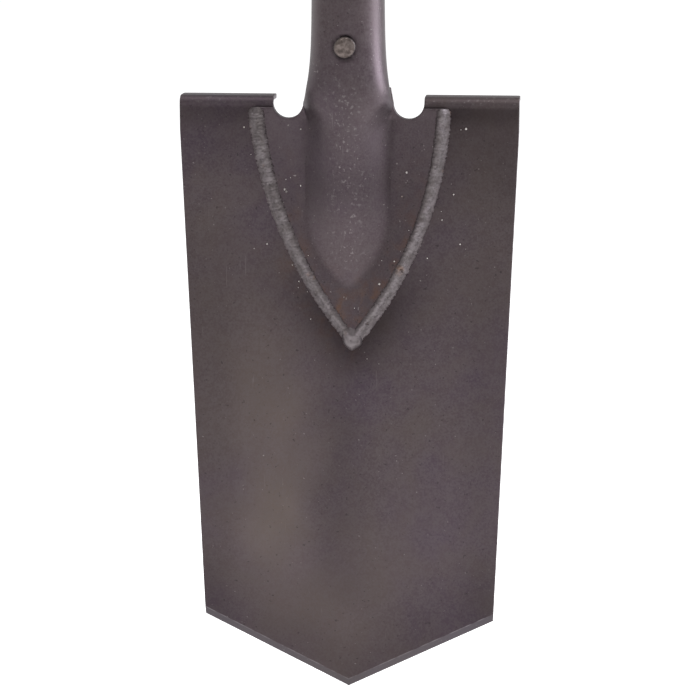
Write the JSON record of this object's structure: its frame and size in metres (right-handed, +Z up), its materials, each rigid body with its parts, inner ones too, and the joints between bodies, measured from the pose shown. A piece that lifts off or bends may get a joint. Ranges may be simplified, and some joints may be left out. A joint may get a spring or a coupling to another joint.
{
  "type": "detecting shovel",
  "caption": "Narrow digging shovel with a pointed flat blade, folded foot treads, a welded and riveted socket, a tube shaft and a T handle with rubber grips.",
  "frame": {"origin": "bottom centre of the bounding box, level with the blade's tip", "axes": "+Z up along the shaft from tip to handle, +X to the right, -Y is the front face that carries the socket tongue"},
  "size_m": [0.15, 0.039, 0.9],
  "materials": {
    "blade_steel": "heat-darkened hardened sheet, satin, dark violet-brown oxide",
    "socket_steel": "heat-darkened pressed sheet, satin",
    "weld_metal": "rippled grey weld metal",
    "rivet_steel": "hammered steel",
    "shaft_paint": "black powder coat, fine texture",
    "grip_rubber": "matte black rubber",
    "plug_plastic": "moulded black plastic"
  },
  "bodies": {
    "root": {"blade": "blade_steel", "socket": "socket_steel", "weld_left": "weld_metal", "weld_right": "weld_metal", "weld_tip": "weld_metal", "weld_neck": "weld_metal", "weld_seam": "weld_metal", "rivet": "rivet_steel", "rivet_washer": "rivet_steel", "spacer_bush": "rivet_steel", "shaft_plug": "plug_plastic", "shaft_tube": "shaft_paint", "shaft_sleeve": "grip_rubber", "crossbar": "shaft_paint", "weld_crossbar": "weld_metal", "grip_left": "grip_rubber", "grip_right": "grip_rubber", "end_plug_left": "plug_plastic", "end_plug_right": "plug_plastic"}
  },
  "joints": []
}
